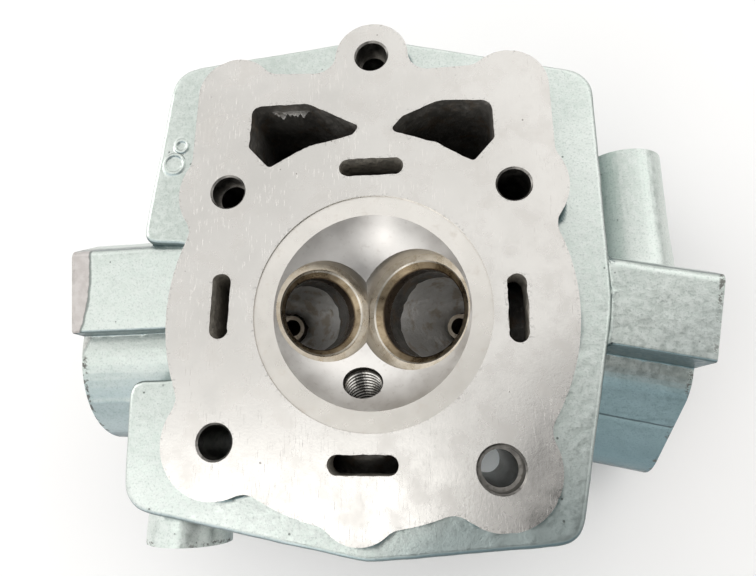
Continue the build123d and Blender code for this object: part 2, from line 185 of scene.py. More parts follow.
def sort_faces(c, n):
    """One kind for each face, from its centre and normal in mm."""
    kinds = np.full(len(c), PAINT)
    x, y, z = c.T
    r = np.hypot(x, y)
    on_deck = (z > -0.01) & (n[:, 2] > 0.99)

    # hollows left as cast
    kinds[(r > 34) & (r < 46) & (z > -50.2) & ~on_deck] = RAW
    kinds[(r > 34) & (r < 46.5) & (z > -13.2) & (abs(n[:, 2]) < 0.3)] = RAW
    kinds[(r < 34) & (z > -62.5) & ~on_deck] = RAW
    kinds[(abs(x) < 37) & (y > 41) & (y < 63.6) & (z > -62.5) & ~on_deck] = RAW
    in_cover = abs(x - COVER_CENTRE[0]) < COVER_INNER[0] + 0.2
    in_cover &= abs(y - COVER_CENTRE[1]) < COVER_INNER[1] + 0.2
    kinds[in_cover & (z < -COVER_FLOOR + 0.5)] = RAW
    for side, line in PORT_LINE.items():
        reach = THROAT_R[side] + 2.0
        inside = facing_line(c, n, *line[:2], reach) | facing_line(c, n, *line[1:], reach)
        kinds[inside & (z < -12)] = BOWL
    passage, _ = axis_distance(c, (0, PASSAGE[0], PASSAGE[1]), (1, 0, 0))
    kinds[(passage < PASSAGE[2] + 0.2) & (x > 44)] = RAW
    place, out, _ = mount_mm("spark_plug")
    near, along = axis_distance(c, place, out)
    kinds[(near < 11.0) & (along > 8.9)] = RAW

    # machined surfaces
    kinds[on_deck] = DECK
    kinds[(r < FIRE_RING_R + 0.1) & (z < -0.01) & (z > -FIRE_RING_DEEP - 0.01)] = RING
    ball = np.linalg.norm(c - np.array((0, 0, BALL_Z)), axis=1)
    kinds[(abs(ball - BALL_R) < 0.06) & (z < -FIRE_RING_DEEP + 0.01)] = DOME
    for side in ("exhaust", "intake"):
        centre = np.array(SEAT_CENTRE[side])
        _, inward, _ = mount_mm(side + "_stem")
        near, along = axis_distance(c, centre, -inward)
        wall = (near < SEAT_R[side] + 0.1) & (near > SEAT_R[side] - 0.1)
        kinds[wall & (along < SEAT_HIGH + 0.1) & (along > -30)] = DOME
        kinds[(near < SEAT_R[side] + 0.1) & (abs(along - SEAT_HIGH) < 0.1)] = DOME
        kinds[(near < 13.1) & (along > 49.5)] = FACE
        place, out, across = flange_frame(side)
        depth = (c - place) @ out
        kinds[(abs(depth) < 0.05) & (n @ out > 0.99)] = FACE
        mouth, mouth_out, dims = mount_mm(side + "_port")
        near, along = axis_distance(c, mouth, mouth_out)
        kinds[(near < dims["r_mm"] + 0.1) & (along > -dims["length_mm"] / 2 - 0.1)] = FACE
        turn = math.radians(BOLT_ANGLE[side])
        for k in (1, -1):
            bolt = place + k * BOLT_CIRCLE * (across * math.cos(turn) + np.array((0, 0, math.sin(turn))))
            near, along = axis_distance(c, bolt, out)
            kinds[(near < STUD_TAP_R + 0.05) & (along > -17) & (along < -0.02)] = BORE
    kinds[z < -HEIGHT + 0.01] = FACE
    kinds[in_cover & (abs(z + PEDESTAL_TOP) < 0.01)] = FACE
    for name in MOUNTS:
        if name.endswith(("_stud", "_dowel")):
            place, out, dims = mount_mm(name)
            near, along = axis_distance(c, place, out)
            kinds[(near < dims["r_mm"] + 0.55) & (z > -62.6) & ~on_deck] = BORE
    for name in ("spark_plug", "sender", "coolant_neck_bore"):
        place, out, dims = mount_mm(name)
        near, along = axis_distance(c, place, out)
        half = dims["length_mm"] / 2 + 0.2
        kinds[(near < dims["r_mm"] + 0.1) & (abs(along) < half + 1.0)] = BORE
    kinds[(y > 56.45) & (x > 66)] = FACE
    kinds[(y < -63.9) & (x < -44) & (z < -15)] = FACE
    for i in (-1, 0, 1):
        for j in (-1, 1):
            across, forth = i * COVER_SCREWS_HALF[0], j * COVER_SCREWS_HALF[1]
            near = np.hypot(x - COVER_CENTRE[0] - across, y - COVER_CENTRE[1] - forth)
            kinds[(near < 2.6) & (z < -68) & (z > -HEIGHT + 0.01)] = BORE
    return kinds


# ------------------------------------------------------------------ the casting, rounded and roughened
def split_long(bm, kind, rounds):
    for _ in range(rounds):
        longest = {}
        for e in bm.edges:
            size = e.calc_length()
            if size <= FINE_EDGE:
                continue
            kinds = {f[kind] for f in e.link_faces}
            if not kinds & {*CAST_KINDS, DECK}:
                continue
            middle = (e.verts[0].co + e.verts[1].co) / 2
            hidden = math.hypot(middle.x, middle.y) < 0.047 and middle.z < -0.014
            hidden = hidden or (kinds <= {RAW, BOWL} and middle.z < -0.03)
            limit = DECK_EDGE if kinds == {DECK} else FINE_EDGE
            if size > (COARSE_EDGE if hidden else limit):
                longest[e] = size
        if not longest:
            return
        bmesh.ops.subdivide_edges(bm, edges=list(longest), cuts=1)
        bmesh.ops.triangulate(bm, faces=[f for f in bm.faces if len(f.verts) > 3])


def neighbour_mean(values, edges, count):
    total = np.zeros_like(values)
    for a, b in ((0, 1), (1, 0)):
        for k in range(values.shape[1]):
            total[:, k] += np.bincount(edges[:, a], weights=values[edges[:, b], k], minlength=len(values))
    return total / np.maximum(count, 1)[:, None]


def read_normals(mesh):
    flat = np.zeros(len(mesh.vertices) * 3, np.float32)
    mesh.vertex_normals.foreach_get("vector", flat)
    return flat.reshape(-1, 3).astype(float)


def parting_ridge(co):
    """Height of the line of flash round each flange, where the two halves of the mould met."""
    height = np.zeros(len(co))
    for side, level in PARTING.items():
        _, out, _ = flange_frame(side)
        line = np.exp(-(((co[:, 2] - level * MM) / (0.7 * MM)) ** 2))
        height += line * (co @ out > PARTING_OUT * MM) * (0.30 + 0.12 * noise(co, 4 * MM, 12)) * MM
    return height


def near_cast_rings(co):
    """For each of the two foundry rings, which points lie close to it."""
    return [np.hypot(co[:, 0] * 1000 - x, co[:, 1] * 1000 - y) < CAST_RINGS_REACH for x, y in CAST_RINGS]


def make_casting():
    bm = bmesh.new()
    bm.from_mesh(frame["nodes"]["head_casting"].data)
    bmesh.ops.remove_doubles(bm, verts=bm.verts, dist=2e-6)
    bm.normal_update()
    kind = bm.faces.layers.int.new("kind")
    centres = np.array([f.calc_center_median() for f in bm.faces]) * 1000
    normals = np.array([f.normal for f in bm.faces])
    for f, k in zip(bm.faces, sort_faces(centres, normals)):
        f[kind] = int(k)
    for e in bm.edges:
        bent = len(e.link_faces) == 2 and e.calc_face_angle(0.0) > math.radians(28)
        machined = any(f[kind] not in CAST_KINDS for f in e.link_faces)
        e.smooth = not (bent and machined)
    split_long(bm, kind, 7)
    for f in bm.faces:
        f.smooth = True
        f.material_index = f[kind]
    mesh = bpy.data.meshes.new("head_casting_body")
    bm.to_mesh(mesh)
    bm.free()

    count = len(mesh.vertices)
    flat = np.zeros(count * 3, np.float32)
    mesh.vertices.foreach_get("co", flat)
    co = flat.reshape(-1, 3).astype(float)
    edges = np.zeros(len(mesh.edges) * 2, np.int64)
    mesh.edges.foreach_get("vertices", edges)
    edges = edges.reshape(-1, 2)
    links = np.bincount(edges.ravel(), minlength=count)
    loops = np.zeros(len(mesh.loops), np.int64)
    mesh.loops.foreach_get("vertex_index", loops)
    face_kind = np.zeros(len(mesh.polygons), np.int64)
    mesh.polygons.foreach_get("material_index", face_kind)
    tris = loops.reshape(-1, 3)
    touches = {}
    for k in range(8):
        touches[k] = np.zeros(count, bool)
        touches[k][tris[face_kind == k].ravel()] = True
    machined = touches[DECK] | touches[RING] | touches[DOME] | touches[BORE] | touches[FACE]

    # rounding of cast edges and corners
    free = (~machined).astype(float)
    for near in near_cast_rings(co):
        free[near & (co[:, 2] > -0.0098)] *= 0.08
    start = co.copy()
    for _ in range(9):
        co += (neighbour_mean(co, edges, links) - co) * (0.6 * free)[:, None]
        co += (neighbour_mean(co, edges, links) - co) * (-0.24 * free)[:, None]
    shift = co - start
    length = np.linalg.norm(shift, axis=1)
    co = start + shift * np.minimum(1, ROUNDING_LIMIT / np.maximum(length, 1e-9))[:, None]
    mesh.vertices.foreach_set("co", co.astype(np.float32).ravel())
    mesh.update()

    # uneven cast skin
    normal = read_normals(mesh)
    skin = 0.10 * noise(co, 14 * MM, 1) + 0.06 * noise(co, 5 * MM, 2) + 0.035 * noise(co, 2.2 * MM, 3)
    rough = 0.22 * noise(co, 3.2 * MM, 4) + 0.12 * noise(co, 1.4 * MM, 5)
    move = np.where(touches[RAW], rough, skin) * MM * free
    move += parting_ridge(co) * (touches[PAINT] & ~touches[RAW]) * free
    co = co + normal * move[:, None]

    # ragged rims of the cast openings and small nicks along the deck's outline, in the deck's plane
    rim = touches[DECK] & (touches[RAW] | touches[PAINT])
    side = neighbour_mean(co, edges, links) - co
    side[:, 2] = 0
    side /= np.maximum(np.linalg.norm(side, axis=1), 1e-9)[:, None]
    ragged = np.where(touches[RAW], 0.16 * noise(co, 2.0 * MM, 6) + 0.10 * noise(co, 0.9 * MM, 7), 0)
    nick = np.clip(noise(co, 1.7 * MM, 8) - 0.55, 0, 1) * 0.5
    out = np.where(touches[RAW], ragged, -nick) * MM
    radial = co.copy()
    radial[:, 2] = 0
    radial /= np.maximum(np.linalg.norm(radial, axis=1), 1e-9)[:, None]
    co = co + radial * (out * rim)[:, None]

    # stays inside the CAD box
    low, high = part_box("head_casting")
    co = np.clip(co, np.array(low) + 1e-6, np.array(high) - 1e-6)
    mesh.vertices.foreach_set("co", co.astype(np.float32).ravel())
    mesh.update()

    # how far each point stands out or lies in a corner
    normal = read_normals(mesh)
    bend = ((co - neighbour_mean(co, edges, links)) * normal).sum(axis=1)
    step = np.linalg.norm(co[edges[:, 0]] - co[edges[:, 1]], axis=1)
    mean_step = np.bincount(edges.ravel(), weights=np.repeat(step, 2), minlength=count) / np.maximum(links, 1)
    bend = (bend / np.maximum(mean_step, 1e-6))[:, None]
    for _ in range(2):
        bend = 0.5 * bend + 0.5 * neighbour_mean(bend, edges, links)
    for near in near_cast_rings(co):
        bend[near] *= 0.15
    for name, values in (("wear", np.clip(bend * 5, 0, 1)), ("corner", np.clip(-bend * 5, 0, 1))):
        layer = mesh.attributes.new(name, "FLOAT", "POINT")
        layer.data.foreach_set("value", values.ravel().astype(np.float32))
    body = bpy.data.objects.new("head_casting_body", mesh)
    scene.collection.objects.link(body)
    return body


# ------------------------------------------------------------------ material building blocks

class Finish:
    """A material's node tree, with short calls for the nodes used here. Lengths are in metres."""

    def __init__(self, name):
        self.material = bpy.data.materials.new(name)
        self.material.use_nodes = True
        self.tree = self.material.node_tree
        self.shader = self.tree.nodes["Principled BSDF"]
        self.place = self.tree.nodes.new("ShaderNodeTexCoord").outputs["Object"]

    def node(self, kind, **settings):
        made = self.tree.nodes.new(kind)
        for key, value in settings.items():
            setattr(made, key, value)
        return made

    def put(self, socket, value):
        if isinstance(value, bpy.types.NodeSocket):
            self.tree.links.new(value, socket)
        else:
            socket.default_value = value

    def math(self, operation, a, b=0.0):
        made = self.node("ShaderNodeMath", operation=operation)
        self.put(made.inputs[0], a)
        self.put(made.inputs[1], b)
        return made.outputs[0]

    def split(self, vector=None):
        made = self.node("ShaderNodeSeparateXYZ")
        self.put(made.inputs[0], vector or self.place)
        return made.outputs

    def turned(self, angle=(0, 0, 0), scale=(1, 1, 1), place=(0, 0, 0)):
        made = self.node("ShaderNodeMapping")
        self.put(made.inputs["Vector"], self.place)
        made.inputs["Location"].default_value = place
        made.inputs["Rotation"].default_value = angle
        made.inputs["Scale"].default_value = scale
        return made.outputs[0]

    def noise(self, size, detail=2.0, rough=0.5, vector=None, warp=0.0):
        made = self.node("ShaderNodeTexNoise")
        self.put(made.inputs["Vector"], vector or self.place)
        made.inputs["Scale"].default_value = 1 / size
        made.inputs["Detail"].default_value = detail
        made.inputs["Roughness"].default_value = rough
        made.inputs["Distortion"].default_value = warp
        return made.outputs["Fac"]

    def cells(self, size, vector=None):
        made = self.node("ShaderNodeTexVoronoi")
        self.put(made.inputs["Vector"], vector or self.place)
        made.inputs["Scale"].default_value = 1 / size
        return made.outputs["Distance"]

    def map(self, value, low, high, to_low=0.0, to_high=1.0):
        made = self.node("ShaderNodeMapRange", interpolation_type="SMOOTHSTEP")
        self.put(made.inputs["Value"], value)
        made.inputs["From Min"].default_value = low
        made.inputs["From Max"].default_value = high
        made.inputs["To Min"].default_value = to_low
        made.inputs["To Max"].default_value = to_high
        return made.outputs["Result"]

    def mix(self, factor, a, b):
        made = self.node("ShaderNodeMix", data_type="RGBA")
        self.put(made.inputs["Factor"], factor)
        for socket, value in ((made.inputs[6], a), (made.inputs[7], b)):
            self.put(socket, value if isinstance(value, bpy.types.NodeSocket) else (*value, 1.0))
        return made.outputs[2]

    def layer(self, name):
        return self.node("ShaderNodeAttribute", attribute_name=name).outputs["Fac"]

    def bump(self, height, distance, strength=1.0, under=None):
        made = self.node("ShaderNodeBump")
        self.put(made.inputs["Height"], height)
        made.inputs["Distance"].default_value = distance
        made.inputs["Strength"].default_value = strength
        if under is not None:
            self.put(made.inputs["Normal"], under)
        return made.outputs["Normal"]

    def finish(self, colour, rough, normal, metal, tone=TONE):
        toned = self.mix(tone, (0.0, 0.0, 0.0), colour)
        self.put(self.shader.inputs["Base Color"], toned)
        self.put(self.shader.inputs["Roughness"], rough)
        self.put(self.shader.inputs["Normal"], normal)
        self.shader.inputs["Metallic"].default_value = metal
        return self.material


def scratches(f, angle, seed, width=0.00011, length=0.006, keep=0.70):
    """Thin broken lines in the deck's plane, all near one direction."""
    warped = f.turned((0, 0, angle), (1 / width, 1 / length, 1 / length), (seed * 3.7, seed * 1.3, 0))
    lines = f.noise(1.0, 1.0, 0.4, warped, 0.02)
    patches = f.noise(0.014, 1.0, 0.5, f.turned((0, 0, 0), (1, 1, 1), (seed * 0.11, 0.3, 0)))
    return f.math("MULTIPLY", f.map(lines, keep, keep + 0.07), f.map(patches, 0.50, 0.62))


def paint_finish():
    f = Finish("cast_paint")
    x, y, z = f.split()
    _, normal_y, normal_z = f.split(f.node("ShaderNodeNewGeometry").outputs["Normal"])
    wear = f.layer("wear")
    corner = f.layer("corner")
    broad = f.noise(0.030, 3.0, 0.6)
    grain = f.noise(0.0006, 2.0, 0.6)
    sand = f.noise(0.0018, 3.0, 0.6)
    colour = f.mix(f.map(broad, 0.35, 0.65), (0.70, 0.775, 0.725), (0.79, 0.85, 0.805))
    colour = f.mix(f.map(sand, 0.40, 0.62, 0.0, 0.45), colour, (0.91, 0.95, 0.92))
    colour = f.mix(f.map(grain, 0.50, 0.70, 0.0, 0.45), colour, (0.40, 0.47, 0.44))
    # painted shade: the paint on the left side, away from the front, is made darker
    painted_shade_left = f.math("MULTIPLY", f.map(x, 0.03, -0.05, 0.0, 0.22), f.map(y, -0.045, -0.020))
    colour = f.mix(painted_shade_left, colour, (0.38, 0.42, 0.385))
    # painted reflection of a dark figure: the paint is darker towards the front right
    toward = f.math("SUBTRACT", f.math("MULTIPLY", x, 0.6), f.math("MULTIPLY", y, 0.8))
    painted_figure_reflection = f.math("MULTIPLY", f.map(toward, 0.045, 0.060), f.map(y, -0.030, -0.062, 0.25, 0.80))
    colour = f.mix(painted_figure_reflection, colour, (0.33, 0.40, 0.40))
    # painted shade: paint darker and bluer on faces that look down, on faces deep below the deck, and on the
    # front below the deck
    low = f.map(normal_z, 0.55, -0.05)
    deep = f.map(z, -0.012, -0.045)
    shade = f.math("MULTIPLY", low, f.map(deep, 0.0, 1.0, 0.25, 0.60))
    shade = f.math("MAXIMUM", shade, f.map(z, -0.036, -0.056, 0.0, 0.28))
    painted_boss_shade = f.math("MULTIPLY", f.map(y, -0.064, -0.069), f.map(z, -0.012, -0.018))
    shade = f.math("MAXIMUM", shade, f.math("MULTIPLY", painted_boss_shade, 0.80))
    colour = f.mix(shade, colour, (0.20, 0.32, 0.355))
    # painted reflection of a dark room: faces turned to the front are multiplied by a blue-grey, darker on
    # the right
    facing = f.map(normal_y, -0.12, -0.60)
    painted_room_reflection = f.node("ShaderNodeMix", data_type="RGBA", blend_type="MULTIPLY")
    f.put(painted_room_reflection.inputs["Factor"], facing)
    f.put(painted_room_reflection.inputs[6], colour)
    reflection_tint = f.mix(f.map(x, -0.03, 0.05), (0.68, 0.75, 0.81), (0.44, 0.57, 0.64))
    f.put(painted_room_reflection.inputs[7], reflection_tint)
    colour = painted_room_reflection.outputs[2]
    # painted shade: a dark band on the sloping rounded edges just below the deck
    turn = f.math("MULTIPLY", f.map(normal_z, 0.86, 0.58), f.map(normal_z, 0.02, 0.22))
    turn = f.math("MULTIPLY", turn, f.map(z, -0.019, -0.014, 0.0, 0.80))
    colour = f.mix(turn, colour, (0.09, 0.125, 0.125))
    # painted shade: steep faces turned to the front are darkened further
    steep_front_shade = f.math("MULTIPLY", facing, f.map(normal_z, 0.42, 0.12))
    colour = f.mix(f.math("MULTIPLY", steep_front_shade, 0.75), colour, (0.07, 0.12, 0.135))
    colour = f.mix(f.math("MULTIPLY", parting_line(f, x, z), 0.8), colour, (0.06, 0.09, 0.10))
    # painted shade: the paint is darker in concave corners
    colour = f.mix(f.map(corner, 0.10, 0.6, 0.0, 0.80), colour, (0.09, 0.15, 0.155))
    pits = f.map(f.cells(0.0046), 0.05, 0.09, 1.0, 0.0)
    specks = f.math("MULTIPLY", pits, f.map(f.noise(0.02, 1.0), 0.44, 0.54))
    colour = f.mix(f.math("MULTIPLY", specks, 0.80), colour, (0.12, 0.14, 0.13))
    chips = f.math("MULTIPLY", f.map(wear, 0.22, 0.6), f.map(f.noise(0.0016, 3.0, 0.7), 0.50, 0.58))
    chips = f.math("MULTIPLY", chips, f.map(f.noise(0.012, 1.0), 0.40, 0.56))
    colour = f.mix(f.math("MULTIPLY", chips, 0.85), colour, (0.14, 0.135, 0.12))
    bare, outline = bare_crescent(f, x, y, z, normal_z)
    tone = f.noise(0.003, 3.0, 0.6)
    metal = f.mix(f.map(tone, 0.35, 0.65), (0.54, 0.505, 0.485), (0.62, 0.59, 0.57))
    colour = f.mix(bare, colour, metal)
    colour = f.mix(f.math("MULTIPLY", outline, 0.75), colour, (0.14, 0.16, 0.15))
    rough = f.map(sand, 0.3, 0.7, 0.30, 0.44)
    rough = f.math("ADD", rough, f.math("MULTIPLY", chips, 0.2))
    height = f.math("ADD", f.math("MULTIPLY", sand, 0.7), f.math("MULTIPLY", grain, 0.3))
    normal = f.bump(height, 0.00020, 0.50)
    normal = f.bump(f.math("MULTIPLY", chips, -1.0), 0.0001, 0.6, normal)
    return f.finish(colour, rough, normal, 0.80)


def parting_line(f, x, z):
    """A thin line of dirt along the mould's parting line on the intake flange."""
    away = f.math("ABSOLUTE", f.math("SUBTRACT", z, PARTING["intake"] * MM))
    return f.math("MULTIPLY", f.map(away, 0.00042, 0.00015), f.map(x, PARTING_OUT * MM, 0.067))


def bare_crescent(f, x, y, z, normal_z):
    """Where the paint is rubbed off the upper corner of the exhaust flange, and the line round it."""
    _, out, _ = flange_frame("exhaust")
    reach = f.math("ADD", f.math("MULTIPLY", x, float(out[0])), f.math("MULTIPLY", y, float(out[1])))
    across = f.math("SUBTRACT", y, 0.016)
    width = f.math("SUBTRACT", 0.0059, f.math("MULTIPLY", f.math("MULTIPLY", across, across), 10.0))
    edge = f.math("ADD", reach, f.math("SUBTRACT", width, 0.095))
    edge = f.math("ADD", edge, f.math("MULTIPLY", f.math("SUBTRACT", f.noise(0.003, 2.0), 0.5), 0.001))
    up = f.math("MULTIPLY", f.map(normal_z, 0.35, 0.55), f.map(z, -0.022, -0.020))
    bare = f.math("MULTIPLY", f.map(edge, -0.0002, 0.0002), up)
    line = f.math("MULTIPLY", f.map(edge, -0.0008, -0.0003), f.map(edge, 0.0004, 0.0001))
    return bare, f.math("MULTIPLY", line, up)


def deck_finish():
    f = Finish("machined_deck")
    wear = f.layer("wear")
    broad = f.noise(0.028, 3.0, 0.6)
    cloud = f.noise(0.009, 3.0, 0.6)
    fine = f.noise(0.0009, 2.0, 0.6)
    colour = f.mix(f.map(broad, 0.35, 0.65), (0.775, 0.755, 0.72), (0.83, 0.81, 0.775))
    colour = f.mix(f.map(cloud, 0.45, 0.72, 0.0, 0.40), colour, (0.66, 0.63, 0.59))
    lines = scratches(f, 0.35, 1)
    for angle, seed, keep in ((1.25, 2, 0.70), (-0.6, 3, 0.71), (2.2, 4, 0.71), (0.9, 5, 0.72)):
        lines = f.math("MAXIMUM", lines, scratches(f, angle, seed, keep=keep))
    colour = f.mix(f.math("MULTIPLY", lines, 0.75), colour, (0.34, 0.31, 0.28))
    dents = f.map(f.cells(0.0055, vector=f.turned(place=(0.003, 0.001, 0))), 0.03, 0.06, 1.0, 0.0)
    dents = f.math("MULTIPLY", dents, f.map(f.noise(0.013, 1.0), 0.50, 0.60))
    colour = f.mix(f.math("MULTIPLY", dents, 0.75), colour, (0.24, 0.22, 0.20))
    rim = f.math("MULTIPLY", f.map(wear, 0.65, 1.0), f.map(f.noise(0.0010, 2.0, 0.7), 0.54, 0.62))
    colour = f.mix(f.math("MULTIPLY", rim, 0.35), colour, (0.22, 0.22, 0.21))
    rough = f.map(cloud, 0.3, 0.7, 0.20, 0.30)
    rough = f.math("ADD", rough, f.math("MULTIPLY", lines, 0.15))
    height = f.math("SUBTRACT", f.math("MULTIPLY", fine, 0.35), f.math("ADD", lines, dents))
    normal = f.bump(height, 0.00006, 0.5)
    return f.finish(colour, rough, normal, 1.0)


def turned_marks(f, radius, pitch):
    wave = f.math("SINE", f.math("MULTIPLY", radius, 2 * math.pi / pitch))
    return f.math("ADD", f.math("MULTIPLY", wave, 0.5), 0.5)


def flat_radius(f):
    """Distance from the cylinder's axis."""
    x, y, _ = f.split()
    return f.math("SQRT", f.math("ADD", f.math("MULTIPLY", x, x), f.math("MULTIPLY", y, y)))


def ring_finish():
    f = Finish("turned_register")
    cloud = f.noise(0.010, 3.0, 0.6)
    stain = f.noise(0.004, 3.0, 0.65)
    y = f.split()[1]
    # painted reflection: the register is lighter towards the back (+y) and darker towards the front
    tone = f.math("ADD", f.map(y, -0.035, 0.035), f.map(cloud, 0.3, 0.7, -0.12, 0.12))
    colour = f.mix(tone, (0.66, 0.635, 0.59), (0.90, 0.87, 0.82))
    colour = f.mix(f.map(stain, 0.55, 0.75, 0.0, 0.45), colour, (0.64, 0.58, 0.51))
    marks = turned_marks(f, flat_radius(f), 0.00035)
    rough = f.map(stain, 0.3, 0.7, 0.26, 0.38)
    return f.finish(colour, rough, f.bump(marks, 0.00001, 0.3), 1.0)


def dome_finish():
    f = Finish("turned_chamber")
    cloud = f.noise(0.008, 3.0, 0.6)
    colour = f.mix(f.map(cloud, 0.35, 0.65), (0.78, 0.755, 0.725), (0.87, 0.85, 0.82))
    haze = f.noise(0.0016, 2.0, 0.6)
    colour = f.mix(f.map(haze, 0.55, 0.75, 0.0, 0.30), colour, (0.54, 0.50, 0.46))
    marks = turned_marks(f, f.math("ADD", flat_radius(f), f.math("MULTIPLY", cloud, 0.0001)), 0.0004)
    rough = f.map(cloud, 0.3, 0.7, 0.30, 0.40)
    return f.finish(colour, rough, f.bump(marks, 0.00001, 0.35), 1.0)


def bore_finish():
    f = Finish("drilled_bore")
    _, _, z = f.split()
    cloud = f.noise(0.003, 3.0, 0.6)
    colour = f.mix(f.map(cloud, 0.35, 0.65), (0.22, 0.21, 0.195), (0.38, 0.365, 0.34))
    dark = f.map(f.noise(0.0012, 2.0, 0.6), 0.52, 0.7, 0.0, 0.7)
    colour = f.mix(dark, colour, (0.13, 0.125, 0.115))
    marks = turned_marks(f, f.math("ADD", z, f.math("MULTIPLY", cloud, 0.0004)), 0.0009)
    rough = f.map(cloud, 0.3, 0.7, 0.28, 0.45)
    return f.finish(colour, rough, f.bump(marks, 0.00005, 0.5), 1.0)


def cast_hollow(name, low, high, spot, stain, rough_low, rough_high, metal):
    """An unpainted surface straight from the sand core."""
    f = Finish(name)
    sand = f.noise(0.0016, 4.0, 0.65)
    cloud = f.noise(0.008, 3.0, 0.6)
    rust = f.noise(0.005, 3.0, 0.65, f.turned(place=(0.02, 0.01, 0)))
    colour = f.mix(f.map(cloud, 0.35, 0.65), low, high)
    colour = f.mix(f.map(sand, 0.52, 0.75, 0.0, 0.6), colour, spot)
    colour = f.mix(f.map(rust, 0.50, 0.66, 0.0, 0.6), colour, stain)
    _, y, z = f.split()
    # painted light and shade: the hollow is paler near the deck and darker deeper down, and the paleness is
    # much weaker beyond y 48 mm
    mouth_light = f.math("MULTIPLY", f.map(z, -0.016, -0.003), f.map(y, 0.045, 0.048, 1.0, 0.15))
    pale = f.math("MULTIPLY", mouth_light, f.map(sand, 0.35, 0.6, 0.55, 0.95))
    colour = f.mix(pale, colour, (0.60, 0.565, 0.50))
    rough = f.map(sand, 0.3, 0.7, rough_low, rough_high)
    return f.finish(colour, rough, f.bump(sand, 0.0005, 0.8), metal)


def face_finish():
    f = Finish("milled_face")
    cloud = f.noise(0.012, 3.0, 0.6)
    haze = f.noise(0.0014, 2.0, 0.6)
    colour = f.mix(f.map(cloud, 0.35, 0.65), (0.62, 0.60, 0.585), (0.72, 0.70, 0.68))
    colour = f.mix(f.map(haze, 0.56, 0.72, 0.0, 0.4), colour, (0.42, 0.40, 0.38))
    lay = f.noise(1.0, 1.0, 0.5, f.turned((0.4, 0, 0.7), (6000, 150, 6000)))
    rough = f.map(cloud, 0.3, 0.7, 0.32, 0.46)
    return f.finish(colour, rough, f.bump(lay, 0.00002, 0.5), 1.0)


def axis_radius(f, centre, direction):
    """Distance from an axis through a point."""
    rel = f.node("ShaderNodeVectorMath", operation="SUBTRACT")
    f.put(rel.inputs[0], f.place)
    rel.inputs[1].default_value = centre
    cross = f.node("ShaderNodeVectorMath", operation="CROSS_PRODUCT")
    f.put(cross.inputs[0], rel.outputs[0])
    cross.inputs[1].default_value = direction
    size = f.node("ShaderNodeVectorMath", operation="LENGTH")
    f.put(size.inputs[0], cross.outputs[0])
    return size.outputs["Value"]


def seat_finish(side, centre, direction):
    """A valve seat: grey burnt face outside, a bright lapped line, a brown throat."""
    f = Finish(side + "_seat_bronze")
    radius = axis_radius(f, centre, direction)
    cloud = f.noise(0.004, 3.0, 0.6)
    haze = f.noise(0.0009, 3.0, 0.65)
    outer = SEAT_R[side] * MM
    lapped = outer - 0.0021
    inner = THROAT_R[side] * MM
    grey = f.mix(f.map(cloud, 0.35, 0.65), (0.40, 0.345, 0.265), (0.56, 0.505, 0.42))
    brown = f.mix(f.map(cloud, 0.38, 0.62), (0.28, 0.215, 0.135), (0.46, 0.37, 0.25))
    colour = f.mix(f.map(radius, lapped - 0.0001, lapped + 0.0001), brown, grey)
    bright = f.math("MULTIPLY", f.map(radius, lapped - 0.0004, lapped - 0.0002),
                    f.map(radius, lapped + 0.0002, lapped))
    colour = f.mix(f.math("MULTIPLY", bright, 0.8), colour, (0.80, 0.77, 0.70))
    colour = f.mix(f.map(radius, inner + 0.0005, inner + 0.0001), colour, (0.10, 0.07, 0.045))
    colour = f.mix(f.map(haze, 0.54, 0.74, 0.0, 0.4), colour, (0.20, 0.16, 0.12))
    marks = turned_marks(f, radius, 0.00028)
    rough = f.map(cloud, 0.3, 0.7, 0.24, 0.38)
    return f.finish(colour, rough, f.bump(marks, 0.00002, 0.4), 1.0)


def turned_metal(name, low, high, dark, rough_low, rough_high, centre, direction):
    """Ring-marked metal round an axis, for guides and clips."""
    f = Finish(name)
    cloud = f.noise(0.004, 3.0, 0.6)
    haze = f.noise(0.0009, 3.0, 0.65)
    colour = f.mix(f.map(cloud, 0.35, 0.65), low, high)
    colour = f.mix(f.map(haze, 0.52, 0.70, 0.0, 0.7), colour, dark)
    marks = turned_marks(f, axis_radius(f, centre, direction), 0.00028)
    rough = f.map(cloud, 0.3, 0.7, rough_low, rough_high)
    return f.finish(colour, rough, f.bump(marks, 0.00002, 0.4), 1.0)


def thread_finish(name, root, crest, centre, direction):
    """Cut thread: bright crests, and roots darkened as painted shade."""
    f = Finish(name + "_metal")
    depth = axis_radius(f, centre, direction)
    cloud = f.noise(0.002, 3.0, 0.6)
    bright = f.mix(f.map(cloud, 0.35, 0.65), (0.70, 0.68, 0.63), (0.90, 0.88, 0.84))
    # painted shade: the colour goes dark towards the root of the thread
    colour = f.mix(f.map(depth, crest + 0.00005, crest + 0.6 * (root - crest)), bright, (0.06, 0.055, 0.05))
    grain = f.noise(0.0004, 2.0, 0.6)
    return f.finish(colour, f.map(cloud, 0.3, 0.7, 0.22, 0.36), f.bump(grain, 0.00002, 0.4), 1.0)


def rubber_finish():
    f = Finish("moulded_rubber")
    haze = f.noise(0.0008, 3.0, 0.6)
    colour = f.mix(f.map(haze, 0.4, 0.65), (0.018, 0.018, 0.018), (0.05, 0.05, 0.048))
    return f.finish(colour, f.map(haze, 0.3, 0.7, 0.45, 0.65), f.bump(haze, 0.00003, 0.4), 0.0)


def floor_finish():
    f = Finish("pale_floor")
    cloud = f.noise(0.20, 2.0, 0.5)
    colour = f.mix(f.map(cloud, 0.3, 0.7), (0.93, 0.925, 0.92), (0.95, 0.945, 0.94))
    return f.finish(colour, f.map(cloud, 0.3, 0.7, 0.7, 0.85), f.bump(cloud, 0.0005, 0.1), 0.0, tone=1.0)


